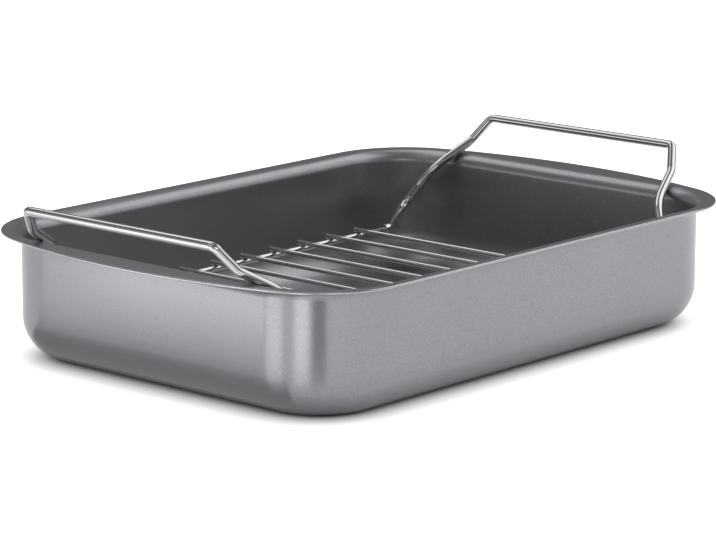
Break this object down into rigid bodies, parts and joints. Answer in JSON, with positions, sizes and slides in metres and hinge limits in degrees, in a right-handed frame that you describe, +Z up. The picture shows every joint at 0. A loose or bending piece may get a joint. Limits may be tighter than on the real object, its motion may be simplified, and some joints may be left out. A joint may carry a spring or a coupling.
{
  "type": "roasting pan with rack",
  "caption": "Deep oblong roasting pan with round corners, bowed rim ends and a lift-out wire rack whose bent wire handles hang over the rim.",
  "frame": {"origin": "centre of the pan's base, on the surface it stands on", "axes": "+Z up; +X along the pan towards one rack handle (handle_far); +Y across the pan"},
  "size_m": [0.4138, 0.2846, 0.1],
  "materials": {
    "pan_coating": "satin grey coat on drawn aluminium sheet, darker non-stick coat inside",
    "rack_wire": "bright chrome-plated steel wire"
  },
  "bodies": {
    "pan": {"pan": "pan_coating"},
    "rack": {"rail_left": "rack_wire", "rail_right": "rack_wire", "crossbar_1": "rack_wire", "crossbar_2": "rack_wire", "crossbar_3": "rack_wire", "crossbar_4": "rack_wire", "crossbar_5": "rack_wire", "crossbar_6": "rack_wire", "crossbar_7": "rack_wire", "handle_near": "rack_wire", "handle_far": "rack_wire"}
  },
  "joints": [
    {"name": "rack_lift", "type": "slide", "parent": "pan", "child": "rack", "axis": [0, 0, 1], "range_m": [0, 0.06]}
  ]
}
